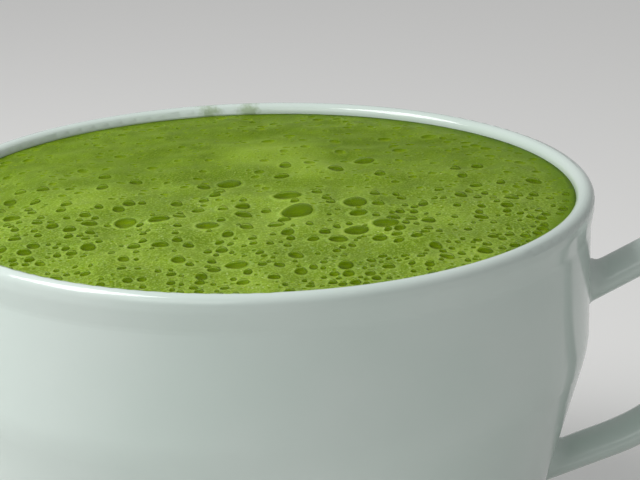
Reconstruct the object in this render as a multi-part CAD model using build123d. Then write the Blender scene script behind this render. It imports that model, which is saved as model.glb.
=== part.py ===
"""A matcha latte in a white porcelain cup with an ear-shaped handle.

Millimetres, +Z up. The origin is the middle of the foot ring's plane, on the cup's axis, and the
handle points along +X. The cup, handle included, is one fired piece. The drink fills it to just
under the lip, and its frothy top is a low crown with open craters left by the widest bubbles.
"""

from build123d import *
import math
import os
import random

# --- cup: overall sizes ---
CUP_HEIGHT = 68.0
RIM_DIAMETER = 104.0  # across the outside of the lip

# --- cup: wall, from the lip down ---
LIP_THICKNESS = 2.8  # the lip is fully rounded
LIP_FLARE = 0.5  # how far the lip stands out past the straight wall
LIP_HEIGHT = 2.4  # from the top of the cup down to the start of the flare
FLARE_HEIGHT = 3.0  # the lip runs into the wall over this height
FLARE_RADIUS = 4.0  # easing at both ends of the flare
INNER_FLARE_RADIUS = 2.5
WALL_THICKNESS = 3.6
SHOULDER_DROP = 24.2  # from the top of the cup to the shoulder where the taper begins
TAPER_ANGLE = 15.5  # of the lower wall, from vertical
SHOULDER_RADIUS = 15.0
BOWL_RADIUS = 14.0  # outer corner between the taper and the underside

# --- cup: underside ---
FOOT_INSET = 10.4  # of the foot ring from where the taper's line meets the table
FOOT_WIDTH = 3.4
FOOT_HEIGHT = 2.6
FOOT_EDGE_RADIUS = 0.9
FOOT_ROOT_RADIUS = 1.2
UNDERSIDE_ANGLE = 11.0  # rise of the underside outside the foot, from level
RECESS_DEPTH = 1.8  # hollow inside the foot ring
FLOOR_THICKNESS = 5.0

# --- handle: its centre line lies in the XZ plane ---
HANDLE_THICKNESS = 4.8  # in the XZ plane
HANDLE_WIDTH = 8.6  # along Y
UPPER_ROOT_DROP = 19.0  # from the top of the cup
LOWER_ROOT_HEIGHT = 18.6  # above the table
HANDLE_REACH = 29.0  # from the straight wall out to the outermost corner
CREST_REACH = 15.0  # from the straight wall out to the top corner
CREST_RISE = 7.5  # of the top corner above the upper root
OUTER_RISE = 4.5  # of the outermost corner above the upper root
HEEL_REACH = 26.0  # from the straight wall out to the heel
HEEL_RISE = 18.0  # of the heel above the lower root
BEND_REACH = 9.5  # from the straight wall out to the bend in the lower arm
BEND_RISE = 5.7  # of that bend above the lower root
CREST_RADIUS = 14.0
OUTER_RADIUS = 7.0
HEEL_RADIUS = 14.0
BEND_RADIUS = 30.0
LEG_SHARE = 0.49  # most of a leg of that line that an arc may take at either end
ROOT_FILLET = 2.4  # where the handle is luted to the wall

# --- drink ---
FROTH_DROP = 1.9  # from the top of the cup to the froth's edge
FROTH_CROWN = 1.5  # rise of the froth's middle above its edge

# The widest bubbles: their middles as X, Y, and their width.
WIDE_BUBBLES = [
    (5.5, -14.0, 5.0),
    (18.0, -21.0, 4.1),
    (4.5, -6.0, 4.0),
    (-4.0, 3.5, 4.0),
    (14.5, -10.0, 3.8),
    (-8.0, -18.5, 3.6),
    (13.5, -23.0, 3.5),
    (18.0, 12.5, 3.5),
    (-20.0, -14.5, 3.4),
    (-4.5, -36.0, 3.1),
    (-15.0, -15.5, 3.0),
    (14.5, -15.0, 2.7),
    (10.5, -27.0, 2.6),
    (-2.5, -13.5, 2.5),
    (13.0, 7.0, 2.5),
    (-37.0, -9.5, 2.4),
    (2.0, -20.0, 2.3),
    (-15.0, -26.5, 2.3),
    (4.0, -33.5, 2.2),
    (-12.5, -33.0, 2.1),
]
BUBBLE_SEED = 7
MID_BUBBLES = 26  # further craters, scattered between the widest
MID_BUBBLE_WIDTH = (1.8, 2.8)  # smallest and largest of them
BUBBLE_SPACING = 0.6  # least froth between two craters
BUBBLE_EDGE_CLEARANCE = 2.0  # least froth between a crater and the cup
CRATER_DEPTH_SHARE = 0.32  # a crater's depth as a share of its width

# --- worked out from the sizes above ---
RIM_RADIUS = RIM_DIAMETER / 2
WALL_RADIUS = RIM_RADIUS - LIP_FLARE
MOUTH_RADIUS = RIM_RADIUS - LIP_THICKNESS
LIP_CREST_RADIUS = RIM_RADIUS - LIP_THICKNESS / 2
LIP_CENTRE_Z = CUP_HEIGHT - LIP_THICKNESS / 2
FLARE_END_Z = CUP_HEIGHT - LIP_HEIGHT - FLARE_HEIGHT
SHOULDER_Z = CUP_HEIGHT - SHOULDER_DROP
FLOOR_Z = RECESS_DEPTH + FLOOR_THICKNESS
TAPER = math.tan(math.radians(TAPER_ANGLE))


def taper_radius(z, inset=0.0):
    """Radius of the tapered wall at height z, or of that wall moved inwards by inset."""
    return WALL_RADIUS - (SHOULDER_Z - z) * TAPER - inset / math.cos(math.radians(TAPER_ANGLE))


def bowl_corner():
    """Where the underside's line, rising from the foot, meets the taper's line."""
    rise = math.tan(math.radians(UNDERSIDE_ANGLE))
    z = (FOOT_HEIGHT + rise * FOOT_INSET) / (1 - rise * TAPER)
    return taper_radius(z), z


def lip_arc(radius):
    """A quarter of the lip's rounding, from its side at that radius up to its crest."""
    centre = (LIP_CREST_RADIUS, LIP_CENTRE_Z)
    reach = (radius - LIP_CREST_RADIUS) * math.sqrt(0.5)
    middle = (centre[0] + reach, centre[1] + abs(reach))
    return ThreePointArc((radius, LIP_CENTRE_Z), middle, (LIP_CREST_RADIUS, CUP_HEIGHT))


def outer_line():
    """Foot, underside, taper, shoulder, straight wall and flare, from the axis to the lip."""
    foot_radius = taper_radius(0) - FOOT_INSET
    points = [
        (0, RECESS_DEPTH),
        (foot_radius - FOOT_WIDTH, RECESS_DEPTH),
        (foot_radius - FOOT_WIDTH, 0),
        (foot_radius, 0),
        (foot_radius, FOOT_HEIGHT),
        bowl_corner(),
        (WALL_RADIUS, SHOULDER_Z),
        (WALL_RADIUS, FLARE_END_Z),
        (RIM_RADIUS, CUP_HEIGHT - LIP_HEIGHT),
        (RIM_RADIUS, LIP_CENTRE_Z),
    ]
    radii = [
        FOOT_EDGE_RADIUS / 2,
        FOOT_EDGE_RADIUS,
        FOOT_EDGE_RADIUS,
        FOOT_ROOT_RADIUS,
        BOWL_RADIUS,
        SHOULDER_RADIUS,
        FLARE_RADIUS,
        FLARE_RADIUS,
    ]
    return FilletPolyline(*points, radius=radii)


def inner_line():
    """The drinking side: the outer line moved in by the wall, down to a level floor."""
    inner_radius = WALL_RADIUS - WALL_THICKNESS
    # the inner taper's line meets the inner wall's line a little below the outer shoulder
    shoulder_z = SHOULDER_Z - WALL_THICKNESS * math.tan(math.radians(TAPER_ANGLE) / 2)
    points = [
        (MOUTH_RADIUS, LIP_CENTRE_Z),
        (MOUTH_RADIUS, CUP_HEIGHT - LIP_HEIGHT),
        (inner_radius, FLARE_END_Z),
        (inner_radius, shoulder_z),
        (taper_radius(FLOOR_Z, WALL_THICKNESS), FLOOR_Z),
        (0, FLOOR_Z),
    ]
    radii = [
        INNER_FLARE_RADIUS,
        INNER_FLARE_RADIUS,
        SHOULDER_RADIUS - WALL_THICKNESS,
        BOWL_RADIUS - WALL_THICKNESS,
    ]
    return FilletPolyline(*points, radius=radii)


def turned(*lines):
    """The solid turned about Z from the outline that the lines close in the XZ plane.

    Its seam is put on the side away from the handle.
    """
    outline = [edge for line in lines for edge in line.edges()]
    return Rot(0, 0, 180) * revolve(Plane.XZ * make_face(outline), Axis.Z)


def make_blank():
    """The turned cup before it is hollowed."""
    outer = outer_line()
    top = (0, CUP_HEIGHT)
    return turned(
        outer,
        lip_arc(RIM_RADIUS),
        Line((LIP_CREST_RADIUS, CUP_HEIGHT), top),
        Line(top, outer @ 0),
    )


def make_cavity():
    """The space inside the cup, carried on straight up from the crest of the lip."""
    inner = inner_line()
    lid_z = CUP_HEIGHT + LIP_THICKNESS
    return turned(
        inner,
        lip_arc(MOUTH_RADIUS),
        Line((LIP_CREST_RADIUS, CUP_HEIGHT), (LIP_CREST_RADIUS, lid_z)),
        Line((LIP_CREST_RADIUS, lid_z), (0, lid_z)),
        Line((0, lid_z), inner @ 1),
    )


def arc_radius(before, corner, after, radius):
    """That radius for a corner of the handle's line, or less where a leg is too short for it."""
    incoming = Vector(*corner) - Vector(*before)
    outgoing = Vector(*after) - Vector(*corner)
    half_turn = math.radians(incoming.get_angle(outgoing) / 2)
    room = LEG_SHARE * min(incoming.length, outgoing.length)
    return min(radius, room / math.tan(half_turn))


def make_handle():
    """An oval bar bent round an ear-shaped path, with both ends well inside the blank."""
    upper_z = CUP_HEIGHT - UPPER_ROOT_DROP
    root_x = taper_radius(LOWER_ROOT_HEIGHT)
    crest = (WALL_RADIUS + CREST_REACH, upper_z + CREST_RISE)
    outermost = (WALL_RADIUS + HANDLE_REACH, upper_z + OUTER_RISE)
    heel = (WALL_RADIUS + HEEL_REACH, LOWER_ROOT_HEIGHT + HEEL_RISE)
    bend = (WALL_RADIUS + BEND_REACH, LOWER_ROOT_HEIGHT + BEND_RISE)
    # both arms are carried on inwards, along their own slopes, by twice the wall
    sunk = 2 * WALL_THICKNESS
    upper_end = (WALL_RADIUS - sunk, upper_z - sunk * CREST_RISE / CREST_REACH)
    lower_end = (root_x - sunk, LOWER_ROOT_HEIGHT - sunk * BEND_RISE / (bend[0] - root_x))
    points = [upper_end, crest, outermost, heel, bend, lower_end]
    wanted = [CREST_RADIUS, OUTER_RADIUS, HEEL_RADIUS, BEND_RADIUS]
    radii = [arc_radius(*points[i : i + 3], radius) for i, radius in enumerate(wanted)]
    path = Plane.XZ * FilletPolyline(*points, radius=radii)
    start = Plane(origin=path @ 0, x_dir=(0, 1, 0), z_dir=path % 0)
    return sweep(start * Ellipse(HANDLE_WIDTH / 2, HANDLE_THICKNESS / 2), path=path)


def make_cup():
    """The blank with its handle blended on at both roots, then hollowed."""
    blank = make_blank()
    handle = make_handle()
    joined = blank + handle
    roots = new_edges(blank, handle, combined=joined)
    return fillet(roots, ROOT_FILLET) - make_cavity()


def froth_height(radius):
    """Height of the froth's smooth crown at a distance from the axis."""
    edge_z = CUP_HEIGHT - FROTH_DROP
    return edge_z + FROTH_CROWN * (1 - (radius / MOUTH_RADIUS) ** 2)


def bubble_places():
    """The widest bubbles, then the middling ones wherever a random place is free."""
    places = list(WIDE_BUBBLES)
    chance = random.Random(BUBBLE_SEED)
    limit = MOUTH_RADIUS - BUBBLE_EDGE_CLEARANCE
    while len(places) < len(WIDE_BUBBLES) + MID_BUBBLES:
        width = chance.uniform(*MID_BUBBLE_WIDTH)
        x = chance.uniform(-limit, limit)
        y = chance.uniform(-limit, limit)
        inside = math.hypot(x, y) + width / 2 < limit
        gaps = [math.hypot(x - u, y - v) - (width + w) / 2 for u, v, w in places]
        if inside and min(gaps) > BUBBLE_SPACING:
            places.append((x, y, width))
    return places


def make_crater(x, y, width):
    """A ball that cuts a crater of that width into the froth's crown."""
    depth = width * CRATER_DEPTH_SHARE
    ball_radius = (width * width / 4 + depth * depth) / (2 * depth)
    bottom_z = froth_height(math.hypot(x, y)) - depth
    return Pos(x, y, bottom_z + ball_radius) * Sphere(ball_radius)


def make_drink():
    """What the cavity holds below the froth's crown, less the craters."""
    reach = RIM_RADIUS
    middle = (0, froth_height(0))
    halfway = (reach / 2, froth_height(reach / 2))
    edge = (reach, froth_height(reach))
    below_froth = turned(
        ThreePointArc(middle, halfway, edge),
        Line(edge, (reach, 0)),
        Line((reach, 0), (0, 0)),
        Line((0, 0), middle),
    )
    drink = make_cavity() & below_froth
    return drink - [make_crater(*place) for place in bubble_places()]


def main():
    os.makedirs("parts", exist_ok=True)
    export_step(make_cup(), "parts/cup.step")
    export_step(make_drink(), "parts/matcha_latte.step")


main()
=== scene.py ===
"""Looks of the matcha latte: a frothy green drink in a glazed white cup.

Sizes are in millimetres unless a comment says otherwise, and become metres where meshes,
materials, lamps and the camera are made. The froth is one closed mesh. Its top is a jittered field
of points with rings of points round each bubble, so that every bubble is a true pit.
"""

import math
import random

import bpy
import numpy as np
from mathutils import Matrix, Vector
from mathutils.geometry import delaunay_2d_cdt


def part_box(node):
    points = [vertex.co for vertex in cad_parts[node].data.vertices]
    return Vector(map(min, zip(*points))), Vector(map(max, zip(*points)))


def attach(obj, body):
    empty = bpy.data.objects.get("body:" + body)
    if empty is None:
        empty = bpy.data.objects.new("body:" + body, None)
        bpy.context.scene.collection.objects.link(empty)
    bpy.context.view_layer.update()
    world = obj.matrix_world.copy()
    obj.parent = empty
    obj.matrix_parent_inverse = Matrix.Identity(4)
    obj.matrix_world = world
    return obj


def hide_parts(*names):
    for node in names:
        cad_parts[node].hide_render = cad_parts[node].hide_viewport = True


MM = 0.001  # metres

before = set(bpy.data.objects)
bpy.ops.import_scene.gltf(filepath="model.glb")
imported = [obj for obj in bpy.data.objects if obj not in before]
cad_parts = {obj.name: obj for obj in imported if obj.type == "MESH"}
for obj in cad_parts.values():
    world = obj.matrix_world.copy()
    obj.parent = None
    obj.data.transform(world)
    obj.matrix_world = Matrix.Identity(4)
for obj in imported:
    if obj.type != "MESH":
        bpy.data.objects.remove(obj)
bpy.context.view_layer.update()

# --- sizes read from the frame ---
CUP_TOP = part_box("cup")[1].z / MM
DRINK_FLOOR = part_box("matcha_latte")[0].z / MM
MOUTH_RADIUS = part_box("matcha_latte")[1].y / MM

# --- the cup's inside, which the drink fills ---
INNER_RADIUS = 47.9
FLARE_END_DROP = 5.4  # from the top of the cup
SHOULDER_DROP = 24.7  # from the top of the cup
TAPER = math.tan(math.radians(15.5))
FLOOR_CORNER_RADIUS = 10.4
FLOOR_CORNER_STEPS = 6

# --- the froth's top ---
FROTH_DROP = 1.9  # its edge below the top of the cup
FROTH_CROWN = 1.5  # its middle above its edge
CROWN_FLATNESS = 4  # the power that keeps the middle flat and rounds the edge down
WALL_OVERLAP = 0.12  # the froth reaches this far into the cup's wall
MENISCUS_RISE = 0.25
MENISCUS_WIDTH = 0.7
EDGE_BAND = 0.7  # the deeper green band along the wall
EDGE_BAND_GROWTH = 2.2  # it is this much wider at the handle
EDGE_POINTS = 360
POINT_SPACING = 0.64
POINT_JITTER = 0.16
POINT_SEED = 11
MERGE_DISTANCE = 1e-7  # points nearer than this become one

# Broad mounds and hollows: X, Y, radius, rise.
MOUNDS = [
    (-5.0, 5.0, 6.0, -0.55),
    (3.0, 17.0, 9.0, 0.5),
    (10.0, 6.0, 5.0, 0.4),
    (-18.0, 20.0, 8.0, -0.3),
    (22.0, 24.0, 8.0, -0.3),
    (-26.0, -2.0, 7.0, 0.3),
    (27.0, -8.0, 8.0, -0.25),
    (-12.0, -8.0, 5.0, -0.3),
    (2.0, -20.0, 6.0, 0.2),
]
CALM_WIDTH = 6.0  # mounds and ripples die away over this width along the wall
RIPPLE_SEED = 3
RIPPLES = 14
RIPPLE_LENGTHS = (7.0, 22.0)
RIPPLE_HEIGHT = 0.065

# --- bubbles: the widest as X, Y and width, then kinds scattered at random ---
WIDE_BUBBLES = [
    (5.5, -14.0, 5.0),
    (18.0, -21.0, 4.1),
    (4.5, -6.0, 4.0),
    (-4.0, 3.5, 4.0),
    (14.5, -10.0, 3.8),
    (-8.0, -18.5, 3.6),
    (13.5, -23.0, 3.5),
    (18.0, 12.5, 3.5),
    (-20.0, -14.5, 3.4),
    (-4.5, -36.0, 3.1),
    (-15.0, -15.5, 3.0),
    (14.5, -15.0, 2.7),
    (10.5, -27.0, 2.6),
    (-2.5, -13.5, 2.5),
    (13.0, 7.0, 2.5),
    (-37.0, -9.5, 2.4),
    (2.0, -20.0, 2.3),
    (-15.0, -26.5, 2.3),
    (4.0, -33.5, 2.2),
    (-12.5, -33.0, 2.1),
]
# Smallest width, largest width, how many, least froth to a neighbour, and how much they gather
# at the froth's edge: 0 is evenly spread.
BUBBLE_KINDS = [
    (1.9, 2.4, 34, 0.5, 0.0),
    (1.2, 2.0, 240, 0.3, 0.6),
    (0.75, 1.3, 400, 0.22, 0.85),
    (0.4, 0.8, 680, 0.14, 0.85),
]
BUBBLE_SEED = 11
WIDTH_POWER = 1.6  # above 1, most bubbles of a kind are narrow
TONE_SEED = 11
TONE_POWER = 0.7  # below 1, most bubbles are light
BACK_START = -16.0  # the froth closes over from this Y
BACK_END = 20.0  # to this one
BACK_SHARE = 0.42  # bubbles at a place there, to one at the front
BACK_FADE = 0.45  # how much less of a bubble there shows through the froth
BUBBLE_EDGE_GAP = 0.9  # least froth between a bubble and the wall
OVAL_SHARE = 0.07  # a bubble is this much longer one way and shorter the other

# --- the pits that bubbles make: shares are of a pit's width, places are shares of its radius ---
PIT_DEPTH_SHARE = 0.13
PIT_FLATNESS = 3.2  # the power that keeps a pit's floor flat and its sides steep
PIT_RIM_SHARE = 0.03  # height of the raised rim
PIT_RIM_CREST = 1.06
PIT_RIM_SPREAD = 0.09
PIT_OUTER_RING = 1.22  # the outermost ring of points
FIELD_START = 1.34  # points of the field lie further out than this
RING_TOLERANCE = 0.02  # a ring's point may be this much nearer to another pit
# Width that a pit stays under, places of its rings of points, and points in each ring.
PIT_RINGS = [
    (0.6, (0.0, 0.75, 1.0, PIT_OUTER_RING), 8),
    (0.9, (0.0, 0.6, 0.95, 1.0, PIT_OUTER_RING), 9),
    (1.6, (0.0, 0.45, 0.78, 0.96, 1.0, PIT_OUTER_RING), 14),
    (2.6, (0.0, 0.3, 0.58, 0.8, 0.93, 0.985, 1.03, PIT_OUTER_RING), 22),
    (math.inf, (0.0, 0.2, 0.4, 0.58, 0.74, 0.87, 0.95, 0.99, 1.04, 1.12, PIT_OUTER_RING), 36),
]
NO_PIT = 99.0  # stands for the place of a point that no pit is near

# Where a pit's colours lie; a pit's outline is painted shade along its edge. The faintest outline
# and ring are those of the narrowest bubbles.
WINDOW_BORDER = 0.12
PIT_EDGE_SHADE_CREST = 0.97
PIT_EDGE_SHADE_SPREAD = 0.07
PIT_EDGE_SHADE_LEAST = 0.5
RING_CREST = 1.2
RING_SPREAD = 0.1
RING_LEAST = 0.4

# --- the films over the bubbles ---
FILM_LEAST_WIDTH = 0.7  # narrower bubbles have no film
FILM_BACK_WIDTH = 2.4  # nor have those under this width at the back
FILM_RISE_SHARE = 0.36  # height of a dome, as a share of its bubble's width
FILM_RISE_LIMIT = 0.6
FILM_SINK = 0.02  # a dome starts this far below the froth
FILM_RINGS = (1.0, 0.94, 0.8, 0.55, 0.27)

# --- traces of froth on the lip at the back: X, Y, Z ---
SMEARS = [(-5.7, 49.4, 66.5), (1.2, 49.6, 66.5)]
SMEAR_RADIUS = 0.7
SMEAR_FADE = 1.9  # a trace dies away over this much more
SMEAR_RAGGEDNESS = 0.7  # its outline strays by up to this
SMEAR_GRAIN = 0.9
SMEAR_STRENGTH = 0.55

# --- stage ---
FLOOR_WIDTH = 8000.0
FLOOR_LIFT = 0.14  # added to the floor's brightness where it is seen
WORLD_STRENGTH = 0.34
# Name, place, width, watts.
LAMPS = [
    ("key", (-240.0, -30.0, 360.0), 220.0, 1.3),
    ("fill", (-420.0, -700.0, 560.0), 600.0, 1.3),
]

# --- view: where the handle points just away from the camera ---
VIEW_TURN = 4.0
VIEW_ELEVATION = 18.01
VIEW_ROLL = -1.243
VIEW_DISTANCE = 339.9
VIEW_RIGHT = 9.72  # the aim, across and up in the picture from the middle of the rim
VIEW_UP = -8.73
LENS = 123.75
SENSOR = 36.0
NEAREST_SEEN = 10.0


def linear(red, green, blue):
    """A display colour given as three bytes, as the linear colour that shaders take."""
    channels = []
    for byte in (red, green, blue):
        share = byte / 255
        low = share / 12.92
        high = ((share + 0.055) / 1.055) ** 2.4
        channels.append(low if share <= 0.04045 else high)
    return (*channels, 1.0)


# ---------------------------------------------------------------- froth: shape


def hump(value, crest, spread):
    """1 at the crest and towards 0 on both sides of it, over about that spread."""
    return np.exp(-(((value - crest) / spread) ** 2))


def ripple_waves():
    """Long low waves in random directions: X and Y wave numbers, and phases."""
    chance = random.Random(RIPPLE_SEED)
    waves = []
    for _ in range(RIPPLES):
        number = 2 * math.pi / chance.uniform(*RIPPLE_LENGTHS)
        heading = chance.uniform(0, 2 * math.pi)
        phase = chance.uniform(0, 2 * math.pi)
        waves.append((number * math.cos(heading), number * math.sin(heading), phase))
    return waves


def mound_height(x, y):
    """Height that the mounds and hollows add."""
    height = np.zeros(len(x))
    for mound_x, mound_y, radius, rise in MOUNDS:
        height += rise * hump(np.hypot(x - mound_x, y - mound_y), 0, radius)
    return height


def froth_height(x, y):
    """Height of the froth between its bubbles."""
    radius = np.hypot(x, y)
    crown = CUP_TOP - FROTH_DROP + FROTH_CROWN * (1 - (radius / MOUTH_RADIUS) ** CROWN_FLATNESS)
    height = crown + MENISCUS_RISE * np.exp(-(MOUTH_RADIUS - radius) / MENISCUS_WIDTH)
    uneven = mound_height(x, y)
    for along_x, along_y, phase in ripple_waves():
        uneven += RIPPLE_HEIGHT * np.sin(x * along_x + y * along_y + phase)
    return height + uneven * np.clip((MOUTH_RADIUS - radius) / CALM_WIDTH, 0, 1)


def backness(y):
    """0 at the front, where the bubbles are open, and 1 at the back, where froth covers them."""
    return np.clip((y - BACK_START) / (BACK_END - BACK_START), 0, 1)


def scatter_bubbles():
    """All bubbles as an array of X, Y, width and turn."""
    chance = random.Random(BUBBLE_SEED)
    bubbles = [(*bubble, chance.uniform(0, math.pi)) for bubble in WIDE_BUBBLES]
    for smallest, largest, count, gap, gathering in BUBBLE_KINDS:
        wanted = len(bubbles) + count
        while len(bubbles) < wanted:
            width = smallest + (largest - smallest) * chance.random() ** WIDTH_POWER
            limit = MOUTH_RADIUS - BUBBLE_EDGE_GAP - width / 2
            radius = limit * math.sqrt(chance.random())
            angle = chance.uniform(0, 2 * math.pi)
            x = radius * math.cos(angle)
            y = radius * math.sin(angle)
            likely = 1 - gathering * (1 - (radius / limit) ** 2)
            likely *= 1 - backness(y) * (1 - BACK_SHARE)
            if chance.random() > likely:
                continue
            placed = np.array(bubbles)
            gaps = np.hypot(placed[:, 0] - x, placed[:, 1] - y) - (placed[:, 2] + width) / 2
            if gaps.min() > gap:
                bubbles.append((x, y, width, chance.uniform(0, math.pi)))
    return np.array(bubbles)


def bubble_tones(bubbles):
    """For each bubble, from 0 for a dark one to 1 for a light one."""
    return np.random.default_rng(TONE_SEED).random(len(bubbles)) ** TONE_POWER


def pit_rings(width):
    """Places of the rings of points in a pit of that width, and points in each ring."""
    for limit, places, around in PIT_RINGS:
        if width < limit:
            return places, around


def pit_points(bubbles):
    """Points in and round every pit: X, Y, and their place as a share of the pit's radius."""
    points = []
    for x, y, width, turn in bubbles:
        places, around = pit_rings(width)
        for ring, share in enumerate(places):
            steps = 1 if share == 0 else around
            for step in range(steps):
                angle = 2 * math.pi * (step + ring / 2) / steps
                oval = 1 + OVAL_SHARE * math.cos(2 * (angle - turn))
                reach = share * oval * width / 2
                points.append((x + reach * math.cos(angle), y + reach * math.sin(angle), share))
    return np.array(points)


def nearest_pit(x, y, bubbles):
    """For each point, the pit it is nearest to and its place as a share of that pit's radius."""
    best = np.full(len(x), NO_PIT)
    owner = np.zeros(len(x), int)
    for number, (bubble_x, bubble_y, width, turn) in enumerate(bubbles):
        near = np.flatnonzero((abs(x - bubble_x) < width) & (abs(y - bubble_y) < width))
        step_x = x[near] - bubble_x
        step_y = y[near] - bubble_y
        angle = np.arctan2(step_y, step_x)
        oval = 1 + OVAL_SHARE * np.cos(2 * (angle - turn))
        share = np.hypot(step_x, step_y) / (oval * width / 2)
        closer = share < best[near]
        best[near[closer]] = share[closer]
        owner[near[closer]] = number
    return owner, best


def field_points():
    """A jittered triangular field of points over the froth."""
    chance = np.random.default_rng(POINT_SEED)
    row_gap = POINT_SPACING * math.sqrt(0.75)
    rows = np.arange(-MOUTH_RADIUS, MOUTH_RADIUS, row_gap)
    columns = np.arange(-MOUTH_RADIUS, MOUTH_RADIUS, POINT_SPACING)
    x, y = np.meshgrid(columns, rows)
    x[1::2] += POINT_SPACING / 2
    x = x.ravel() + chance.uniform(-POINT_JITTER, POINT_JITTER, x.size)
    y = y.ravel() + chance.uniform(-POINT_JITTER, POINT_JITTER, y.size)
    inside = np.hypot(x, y) < MOUTH_RADIUS - POINT_SPACING
    return x[inside], y[inside]


def froth_top(bubbles):
    """The froth's top: points, faces, and each point's nearest pit and place in it."""
    edge_angle = np.linspace(0, 2 * math.pi, EDGE_POINTS, endpoint=False)
    edge_x = (MOUTH_RADIUS + WALL_OVERLAP) * np.cos(edge_angle)
    edge_y = (MOUTH_RADIUS + WALL_OVERLAP) * np.sin(edge_angle)
    pit_x, pit_y, place = pit_points(bubbles).T
    _, share = nearest_pit(pit_x, pit_y, bubbles)
    kept = (place <= 1.0) | (share > place - RING_TOLERANCE)
    field_x, field_y = field_points()
    _, share = nearest_pit(field_x, field_y, bubbles)
    clear = share > FIELD_START
    x = np.concatenate([edge_x, pit_x[kept], field_x[clear]])
    y = np.concatenate([edge_y, pit_y[kept], field_y[clear]])
    owner, share = nearest_pit(x, y, bubbles)
    width = bubbles[owner, 2]
    inside = np.clip(share, 0, 1)
    bowl = PIT_DEPTH_SHARE * width * (1 - inside**PIT_FLATNESS)
    rim = PIT_RIM_SHARE * width * hump(share, PIT_RIM_CREST, PIT_RIM_SPREAD)
    height = froth_height(x, y) - bowl + rim
    flat = [Vector(point) for point in np.column_stack([x, y])]
    result = delaunay_2d_cdt(flat, [], [], 0, MERGE_DISTANCE)
    faces = [tuple(result[3][corner][0] for corner in face) for face in result[2]]
    return np.column_stack([x, y, height]), faces, owner, share


def rounded_corner(before, corner, after, radius, steps):
    """Points along an arc of that radius which replaces a corner of an outline."""
    before, corner, after = Vector(before), Vector(corner), Vector(after)
    incoming = (before - corner).normalized()
    outgoing = (after - corner).normalized()
    half = incoming.angle(outgoing) / 2
    centre = corner + (incoming + outgoing).normalized() * radius / math.sin(half)
    start = corner + incoming * radius / math.tan(half) - centre
    end = corner + outgoing * radius / math.tan(half) - centre
    # slerp gives vectors of length 1
    arc = [radius * start.slerp(end, step / steps) for step in range(steps + 1)]
    return [centre + spoke for spoke in arc]


def drink_side():
    """The drink's outline below its edge: radius and height, down to its floor."""
    shoulder_z = CUP_TOP - SHOULDER_DROP
    flare_end_z = CUP_TOP - FLARE_END_DROP
    floor_radius = INNER_RADIUS - (shoulder_z - DRINK_FLOOR) * TAPER
    shoulder = (INNER_RADIUS, shoulder_z)
    floor_corner = (floor_radius, DRINK_FLOOR)
    middle = (0, DRINK_FLOOR)
    corner_arc = rounded_corner(
        shoulder, floor_corner, middle, FLOOR_CORNER_RADIUS, FLOOR_CORNER_STEPS
    )
    return [(INNER_RADIUS, flare_end_z), shoulder, *[tuple(point) for point in corner_arc]]


def add_side(points, faces):
    """The top's points and faces with those of the drink's side and floor, which close it."""
    rows = [points]
    faces = list(faces)
    total = len(points)
    upper = list(range(EDGE_POINTS))
    angle = np.linspace(0, 2 * math.pi, EDGE_POINTS, endpoint=False)
    for radius, z in drink_side():
        height = np.full(EDGE_POINTS, z)
        rows.append(np.column_stack([radius * np.cos(angle), radius * np.sin(angle), height]))
        lower = list(range(total, total + EDGE_POINTS))
        total += EDGE_POINTS
        for step in range(EDGE_POINTS):
            after = (step + 1) % EDGE_POINTS
            faces.append((upper[step], lower[step], lower[after], upper[after]))
        upper = lower
    faces.append(tuple(reversed(upper)))
    return np.concatenate(rows), faces


def new_object(name, points, faces):
    """A smooth-shaded mesh object from points in millimetres."""
    mesh = bpy.data.meshes.new(name)
    mesh.from_pydata([tuple(point) for point in np.asarray(points) * MM], [], faces)
    mesh.validate()
    mesh.polygons.foreach_set("use_smooth", [True] * len(mesh.polygons))
    piece = bpy.data.objects.new(name, mesh)
    bpy.context.scene.collection.objects.link(piece)
    return piece


def add_attribute(piece, name, values):
    """One number for each point, for the material to read. Points left out get 0."""
    attribute = piece.data.attributes.new(name, "FLOAT", "POINT")
    padded = np.zeros(len(piece.data.vertices), np.float32)
    padded[: len(values)] = values
    attribute.data.foreach_set("value", padded)


def froth_markings(points, width, share):
    """Where each of the froth's markings lies, from 0 to 1 for each point, and the mounds."""
    x, y = points[:, 0], points[:, 1]
    radius = np.hypot(x, y)
    back = backness(y)
    shown = 1 - BACK_FADE * back
    # The outline is painted shade along each pit's edge.
    outline = hump(share, PIT_EDGE_SHADE_CREST, PIT_EDGE_SHADE_SPREAD) * np.clip(width, PIT_EDGE_SHADE_LEAST, 1)
    ring = hump(share, RING_CREST, RING_SPREAD) * np.clip(width, RING_LEAST, 1)
    band = EDGE_BAND + EDGE_BAND_GROWTH * np.clip(x / MOUTH_RADIUS, 0, 1)
    return {
        "window": np.clip((1.0 - share) / WINDOW_BORDER, 0, 1) * shown,
        "outline": outline * shown,
        "ring": ring * shown**2,
        "edge": hump(radius, MOUTH_RADIUS, band),
        "back": back,
        "mound": mound_height(x, y),
    }


def make_froth(bubbles):
    """The drink with its frothy top, as one closed mesh."""
    top_points, top_faces, owner, share = froth_top(bubbles)
    piece = new_object("froth", *add_side(top_points, top_faces))
    for name, values in froth_markings(top_points, bubbles[owner, 2], share).items():
        add_attribute(piece, name, values)
    add_attribute(piece, "tone", bubble_tones(bubbles)[owner])
    piece.data.materials.append(froth_material())
    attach(piece, "root")
    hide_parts("matcha_latte")


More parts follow.
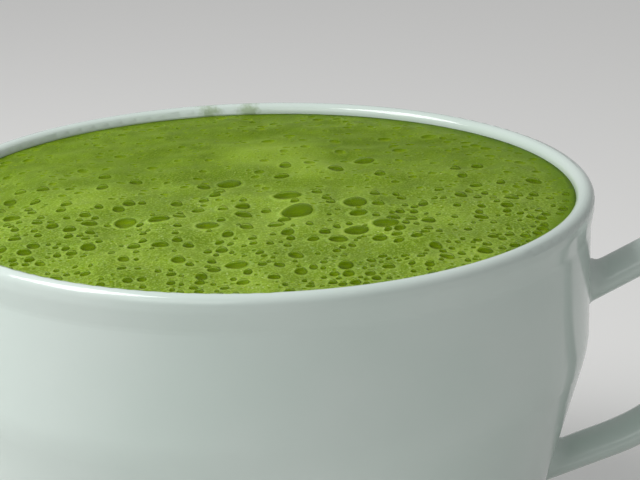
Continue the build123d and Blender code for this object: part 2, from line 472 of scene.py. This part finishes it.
def film_dome(x, y, width, turn, around):
    """One bubble's film: a closed dome over its pit. Points and faces."""
    points = []
    faces = []
    top = min(FILM_RISE_SHARE * width, FILM_RISE_LIMIT)
    for ring, share in enumerate(FILM_RINGS):
        for step in range(around):
            angle = 2 * math.pi * step / around
            reach = share * (1 + OVAL_SHARE * math.cos(2 * (angle - turn))) * width / 2
            rise = top * math.sqrt(1 - share**2)
            points.append((x + reach * math.cos(angle), y + reach * math.sin(angle), rise))
            after = (step + 1) % around
            lower = ring * around
            if ring == len(FILM_RINGS) - 1:
                faces.append((lower + step, lower + after, lower + around))
            else:
                upper = lower + around
                faces.append((lower + step, lower + after, upper + after, upper + step))
    points.append((x, y, top))
    faces.append(tuple(reversed(range(around))))
    return np.array(points), faces


def make_films(bubbles):
    """The films over all the wider bubbles, as one piece."""
    points = []
    faces = []
    tones = []
    total = 0
    least_width = FILM_LEAST_WIDTH + (FILM_BACK_WIDTH - FILM_LEAST_WIDTH) * backness(bubbles[:, 1])
    covered = bubbles[:, 2] >= least_width
    for (x, y, width, turn), tone in zip(bubbles[covered], bubble_tones(bubbles)[covered]):
        around = pit_rings(width)[1]
        dome, dome_faces = film_dome(x, y, width, turn, around)
        dome[:, 2] += froth_height(dome[:, 0], dome[:, 1]) - FILM_SINK
        points.append(dome)
        faces += [tuple(corner + total for corner in face) for face in dome_faces]
        tones += [tone] * len(dome)
        total += len(dome)
    piece = new_object("bubble_films", np.concatenate(points), faces)
    add_attribute(piece, "tone", tones)
    piece.data.materials.append(film_material())
    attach(piece, "root")


# ---------------------------------------------------------------- materials


class Nodes:
    """A new material's node tree, with short calls to add and join nodes."""

    def __init__(self, name):
        self.material = bpy.data.materials.new(name)
        self.material.use_nodes = True
        self.tree = self.material.node_tree
        self.shader = self.tree.nodes["Principled BSDF"]

    def add(self, kind, links=None, **settings):
        """A node with its settings, and its inputs joined or set."""
        node = self.tree.nodes.new(kind)
        for setting, value in settings.items():
            setattr(node, setting, value)
        for name, value in (links or {}).items():
            self.put(node.inputs[name], value)
        return node

    def put(self, socket, value):
        """Joins an output to an input, or sets the input."""
        if isinstance(value, bpy.types.NodeSocket):
            self.tree.links.new(value, socket)
        else:
            socket.default_value = value

    def place(self):
        """Coordinates that stay with the piece, in metres."""
        return self.add("ShaderNodeTexCoord").outputs["Object"]

    def noise(self, width_mm, detail=2.0, rough=0.5):
        """Noise whose blotches are about that wide."""
        links = {
            "Vector": self.place(),
            "Scale": 1 / (width_mm * MM),
            "Detail": detail,
            "Roughness": rough,
        }
        return self.add("ShaderNodeTexNoise", links).outputs["Fac"]

    def cells(self, spacing_mm):
        """Distance to the nearest of many scattered points, about that far apart."""
        links = {"Vector": self.place(), "Scale": 1 / (spacing_mm * MM)}
        return self.add("ShaderNodeTexVoronoi", links).outputs["Distance"]

    def attribute(self, name):
        """The number that the mesh keeps for each point under that name."""
        return self.add("ShaderNodeAttribute", attribute_name=name).outputs["Fac"]

    def span(self, value, low, high, to_low=0.0, to_high=1.0):
        """Value moved from one span to another, clamped."""
        links = {
            "Value": value,
            "From Min": low,
            "From Max": high,
            "To Min": to_low,
            "To Max": to_high,
        }
        return self.add("ShaderNodeMapRange", links).outputs["Result"]

    def math(self, operation, first, second):
        """Two values through one operation."""
        node = self.add("ShaderNodeMath", {0: first, 1: second}, operation=operation)
        return node.outputs[0]

    def times(self, first, second):
        """The product of two values."""
        return self.math("MULTIPLY", first, second)

    def plus(self, first, second):
        """The sum of two values."""
        return self.math("ADD", first, second)

    def rest(self, value):
        """What is left of 1 without the value."""
        return self.math("SUBTRACT", 1.0, value)

    def blend(self, factor, first, second):
        """A mix of two colours, which is the second where the factor is 1."""
        node = self.add("ShaderNodeMix", data_type="RGBA")
        self.put(node.inputs["Factor"], factor)
        self.put(node.inputs["A"], first)
        self.put(node.inputs["B"], second)
        return node.outputs["Result"]

    def bump(self, height, depth_mm, strength, normal=None):
        """Fine relief of that depth, on top of an earlier one if that is given."""
        links = {"Height": height, "Distance": depth_mm * MM, "Strength": strength}
        if normal:
            links["Normal"] = normal
        return self.add("ShaderNodeBump", links).outputs["Normal"]

    def finish(self, **inputs):
        """Sets the shader's inputs, named with underscores for spaces."""
        for name, value in inputs.items():
            self.put(self.shader.inputs[name.replace("_", " ")], value)
        return self.material


PALE_FROTH = linear(128, 156, 42)
MID_FROTH = linear(99, 127, 12)
DEEP_FROTH = linear(84, 110, 0)
# pale specks: the foam's own, together with painted highlights on tiny bubbles
PALE_GRAIN_AND_HIGHLIGHT = linear(166, 190, 96)
GLINT_FROTH = linear(196, 214, 156)
RING_FROTH = linear(156, 184, 84)
WINDOW_GREEN = linear(124, 152, 0)
WINDOW_DARK = linear(88, 116, 0)
# painted shade along the edges of the pits
PIT_EDGE_SHADE_GREEN = linear(62, 86, 0)
EDGE_GREEN = linear(86, 116, 0)
FILM_GREEN = linear(106, 136, 0)
GLAZE_SHADED = linear(202, 216, 209)
GLAZE_LIGHT = linear(207, 219, 213)
BARE_PORCELAIN = linear(214, 208, 196)
PAPER = linear(226, 226, 224)
WHITE = (1.0, 1.0, 1.0, 1.0)

# --- the froth's markings: widths, spacings and depths, and strengths from 0 to 1 ---
PATCH_WIDTH = 14.0
STREAK_WIDTH = 4.5
SPOT_WIDTH = 2.4  # soft dark spots, at the back only
DOT_SPACING = 0.55
DOT_CLUSTER_WIDTH = 2.4
DOT_STRENGTH = 0.85
GRAIN_WIDTH = 0.32
GRAIN_FRONT = 0.45
GRAIN_BACK = 0.1
GLINT_SPACING = 0.9
GLINT_CLUSTER_WIDTH = 7.0
RING_STRENGTH = 0.6
EDGE_STRENGTH = 0.95
WINDOW_STRENGTH = 0.9
# blotches of painted shade inside the bubbles' windows
WINDOW_SHADE_WIDTH = 1.0
PIT_EDGE_SHADE_STRENGTH = 0.55
CELL_SPACING = 0.5
CELL_DEPTH = 0.08
FINE_WIDTH = 0.26
FINE_DEPTH = 0.05

DRINK_IOR = 1.34
GLAZE_IOR = 1.52

# How solid a film is where it is seen face on, and where it is seen edge on.
CLEAR_FILM = (0.06, 0.6)  # over the lightest bubble
TINTED_FILM = (0.28, 0.75)  # over the darkest
FACE_ON = 0.2
EDGE_ON = 0.95

# --- glaze ---
BARE_TOP = 0.7  # the foot ring is bare up to about this height
BARE_FADE = 0.2
CLOUD_WIDTH = 24.0
GLOSS_WIDTH = 9.0
GLAZE_WAVE_WIDTH = 6.0
GLAZE_WAVE_DEPTH = 0.05


def foam_colour(nodes, back):
    """The froth's colour between its bubbles: smoother and deeper green at the back, partly
    thinner foam and partly painted shade, with painted light and shade on its mounds and hollows.
    """
    # Paler towards the front and deeper green towards the back: partly the foam's own thickness,
    # and partly painted light at the front and painted shade at the back.
    thick_and_lit = nodes.rest(nodes.times(back, 0.8))
    thin_and_shaded = nodes.plus(0.4, nodes.times(back, 0.4))
    patches = nodes.span(nodes.noise(PATCH_WIDTH, 3.0), 0.36, 0.64)
    colour = nodes.blend(nodes.times(patches, thick_and_lit), MID_FROTH, PALE_FROTH)
    streaks = nodes.span(nodes.noise(STREAK_WIDTH, 3.0), 0.42, 0.7)
    colour = nodes.blend(nodes.times(streaks, thin_and_shaded), colour, DEEP_FROTH)
    spots = nodes.span(nodes.noise(SPOT_WIDTH, 1.0), 0.52, 0.66, 0.0, 0.6)
    colour = nodes.blend(nodes.times(spots, back), colour, DEEP_FROTH)
    mound = nodes.attribute("mound")
    # Painted light and shade: mound tops are paler and hollows deeper green, as light falls on the
    # relief.
    colour = nodes.blend(nodes.span(mound, 0.05, 0.4, 0.0, 0.8), colour, PALE_FROTH)
    colour = nodes.blend(nodes.span(mound, -0.05, -0.5, 0.0, 0.7), colour, DEEP_FROTH)
    clusters = nodes.span(nodes.noise(DOT_CLUSTER_WIDTH), 0.42, 0.6)
    dots = nodes.times(nodes.span(nodes.cells(DOT_SPACING), 0.14, 0.3, 1.0, 0.0), clusters)
    colour = nodes.blend(nodes.times(dots, DOT_STRENGTH), colour, DEEP_FROTH)
    # Pale specks: the foam's own, together with painted highlights on tiny bubbles, stronger at
    # the front.
    grain_and_highlights = nodes.span(nodes.noise(GRAIN_WIDTH), 0.5, 0.6)
    grain_and_highlights = nodes.times(grain_and_highlights, nodes.span(back, 0.0, 1.0, GRAIN_FRONT, GRAIN_BACK))
    colour = nodes.blend(grain_and_highlights, colour, PALE_GRAIN_AND_HIGHLIGHT)
    clusters = nodes.span(nodes.noise(GLINT_CLUSTER_WIDTH), 0.4, 0.6)
    glints = nodes.times(nodes.span(nodes.cells(GLINT_SPACING), 0.1, 0.2, 0.6, 0.0), thick_and_lit)
    return nodes.blend(nodes.times(glints, clusters), colour, GLINT_FROTH)


def bubble_colours(nodes, colour, window):
    """That colour with the bubbles' pale rings, glassy green windows with painted shade in them,
    and dark outlines of painted shade on it.
    """
    ring = nodes.times(nodes.attribute("ring"), RING_STRENGTH)
    colour = nodes.blend(ring, colour, RING_FROTH)
    edge = nodes.times(nodes.attribute("edge"), EDGE_STRENGTH)
    colour = nodes.blend(edge, colour, EDGE_GREEN)
    # Blotches of painted shade inside the windows, on top of each bubble's own tone.
    window_shade = nodes.times(nodes.span(nodes.noise(WINDOW_SHADE_WIDTH), 0.35, 0.65), 0.5)
    tone = nodes.plus(window_shade, nodes.times(nodes.attribute("tone"), 0.6))
    glass = nodes.blend(nodes.span(tone, 0.1, 1.0), WINDOW_DARK, WINDOW_GREEN)
    colour = nodes.blend(nodes.times(window, WINDOW_STRENGTH), colour, glass)
    # The dark outline is painted shade along each pit's edge.
    outline = nodes.times(nodes.attribute("outline"), PIT_EDGE_SHADE_STRENGTH)
    return nodes.blend(outline, colour, PIT_EDGE_SHADE_GREEN)


def froth_material():
    """Pale green foam of tiny bubbles, deeper green where the foam is sparse and where a bubble
    shows, and deepened towards the back by painted shade.
    """
    nodes = Nodes("matcha_froth")
    window = nodes.attribute("window")
    colour = foam_colour(nodes, nodes.attribute("back"))
    colour = bubble_colours(nodes, colour, window)
    foam = nodes.rest(window)
    relief = nodes.times(nodes.span(nodes.cells(CELL_SPACING), 0.0, 0.45), foam)
    normal = nodes.bump(relief, CELL_DEPTH, 0.7)
    fine = nodes.times(nodes.noise(FINE_WIDTH), foam)
    normal = nodes.bump(fine, FINE_DEPTH, 0.6, normal)
    return nodes.finish(
        Base_Color=colour,
        Roughness=0.5,
        Specular_IOR_Level=0.12,
        Normal=normal,
        Subsurface_Weight=0.8,
        Subsurface_Scale=1.6 * MM,
        Subsurface_Radius=(0.8, 1.0, 0.1),
        IOR=DRINK_IOR,
    )


def film_material():
    """The green skin of a bubble, clearer face on than edge on and clearer over a light bubble."""
    nodes = Nodes("bubble_film")
    facing = nodes.add("ShaderNodeLayerWeight", {"Blend": 0.4}).outputs["Facing"]
    tone = nodes.attribute("tone")
    clear = nodes.times(nodes.span(facing, FACE_ON, EDGE_ON, *CLEAR_FILM), tone)
    tinted = nodes.times(nodes.span(facing, FACE_ON, EDGE_ON, *TINTED_FILM), nodes.rest(tone))
    return nodes.finish(
        Base_Color=FILM_GREEN,
        Roughness=0.14,
        Specular_IOR_Level=0.08,
        IOR=DRINK_IOR,
        Alpha=nodes.plus(clear, tinted),
    )


def add_smears(nodes, colour):
    """That colour with the traces of froth on it."""
    for spot in SMEARS:
        links = {0: nodes.place(), 1: Vector(spot) * MM}
        away = nodes.add("ShaderNodeVectorMath", links, operation="DISTANCE").outputs["Value"]
        stray = SMEAR_RAGGEDNESS * MM
        away = nodes.plus(away, nodes.span(nodes.noise(SMEAR_GRAIN), 0.3, 0.7, -stray, stray))
        near = SMEAR_RADIUS * MM
        far = (SMEAR_RADIUS + SMEAR_FADE) * MM
        smear = nodes.span(away, near, far, SMEAR_STRENGTH, 0.0)
        colour = nodes.blend(smear, colour, MID_FROTH)
    return colour


def glaze_material():
    """Cool white glaze, a little uneven, with the foot ring's bare porcelain below it."""
    nodes = Nodes("white_glaze")
    height = nodes.add("ShaderNodeSeparateXYZ", {"Vector": nodes.place()}).outputs["Z"]
    bare = nodes.span(height, BARE_TOP * MM, (BARE_TOP - BARE_FADE) * MM)
    cloud = nodes.span(nodes.noise(CLOUD_WIDTH), 0.35, 0.65)
    colour = nodes.blend(cloud, GLAZE_SHADED, GLAZE_LIGHT)
    colour = nodes.blend(bare, colour, BARE_PORCELAIN)
    rough = nodes.span(nodes.noise(GLOSS_WIDTH, 3.0), 0.3, 0.7, 0.09, 0.15)
    return nodes.finish(
        Base_Color=add_smears(nodes, colour),
        Roughness=nodes.plus(rough, nodes.times(bare, 0.6)),
        Normal=nodes.bump(nodes.noise(GLAZE_WAVE_WIDTH, 1.0), GLAZE_WAVE_DEPTH, 0.25),
        IOR=GLAZE_IOR,
    )


def dress_cup():
    """The CAD cup keeps its mesh and gets its glaze."""
    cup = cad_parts["cup"]
    glaze = glaze_material()
    for slot in cup.material_slots:
        slot.material = glaze


# ---------------------------------------------------------------- stage


def floor_material():
    """Pale matt paper, paler still where it is seen, which leaves its shadows in place."""
    nodes = Nodes("floor")
    path = nodes.add("ShaderNodeLightPath").outputs
    seen = nodes.plus(path["Is Camera Ray"], path["Is Glossy Ray"])
    seen = nodes.plus(seen, path["Is Transmission Ray"])
    return nodes.finish(
        Base_Color=PAPER,
        Roughness=0.7,
        Emission_Color=WHITE,
        Emission_Strength=nodes.times(seen, FLOOR_LIFT),
    )


def make_stage():
    """A pale floor and a pale world."""
    bpy.ops.mesh.primitive_plane_add(size=FLOOR_WIDTH * MM, location=(0, 0, 0))
    floor = bpy.context.object
    floor.name = "floor"
    floor.data.materials.append(floor_material())
    world = bpy.data.worlds.new("world")
    bpy.context.scene.world = world
    world.use_nodes = True
    background = world.node_tree.nodes["Background"]
    background.inputs["Color"].default_value = WHITE
    background.inputs["Strength"].default_value = WORLD_STRENGTH


def add_lamp(name, place_mm, width_mm, watts):
    """A square soft lamp that faces the drink."""
    lamp = bpy.data.lights.new(name, "AREA")
    lamp.size = width_mm * MM
    lamp.energy = watts
    holder = bpy.data.objects.new(name, lamp)
    bpy.context.scene.collection.objects.link(holder)
    place = Vector(place_mm) * MM
    target = Vector((0, 0, CUP_TOP)) * MM
    holder.location = place
    holder.rotation_euler = (target - place).to_track_quat("-Z", "Y").to_euler()


def make_camera():
    """The camera at the view named above."""
    elevation = math.radians(VIEW_ELEVATION)
    turn = Matrix.Rotation(math.radians(-VIEW_TURN), 3, "Z")
    back = turn @ Vector((0, -math.cos(elevation), math.sin(elevation)))
    right = turn @ Vector((1, 0, 0))
    up = back.cross(right)
    aim = Vector((0, 0, CUP_TOP)) + right * VIEW_RIGHT + up * VIEW_UP
    roll = Matrix.Rotation(math.radians(VIEW_ROLL), 3, back)
    axes = Matrix((roll @ right, roll @ up, back)).transposed()
    camera = bpy.data.objects.new("camera", bpy.data.cameras.new("camera"))
    camera.data.lens = LENS
    camera.data.sensor_width = SENSOR
    camera.data.clip_start = NEAREST_SEEN * MM
    place = (aim + back * VIEW_DISTANCE) * MM
    camera.matrix_world = Matrix.Translation(place) @ axes.to_4x4()
    bpy.context.scene.collection.objects.link(camera)
    bpy.context.scene.camera = camera


dress_cup()
all_bubbles = scatter_bubbles()
make_froth(all_bubbles)
make_films(all_bubbles)
make_stage()
for settings in LAMPS:
    add_lamp(*settings)
make_camera()
bpy.context.scene.view_settings.view_transform = "Standard"
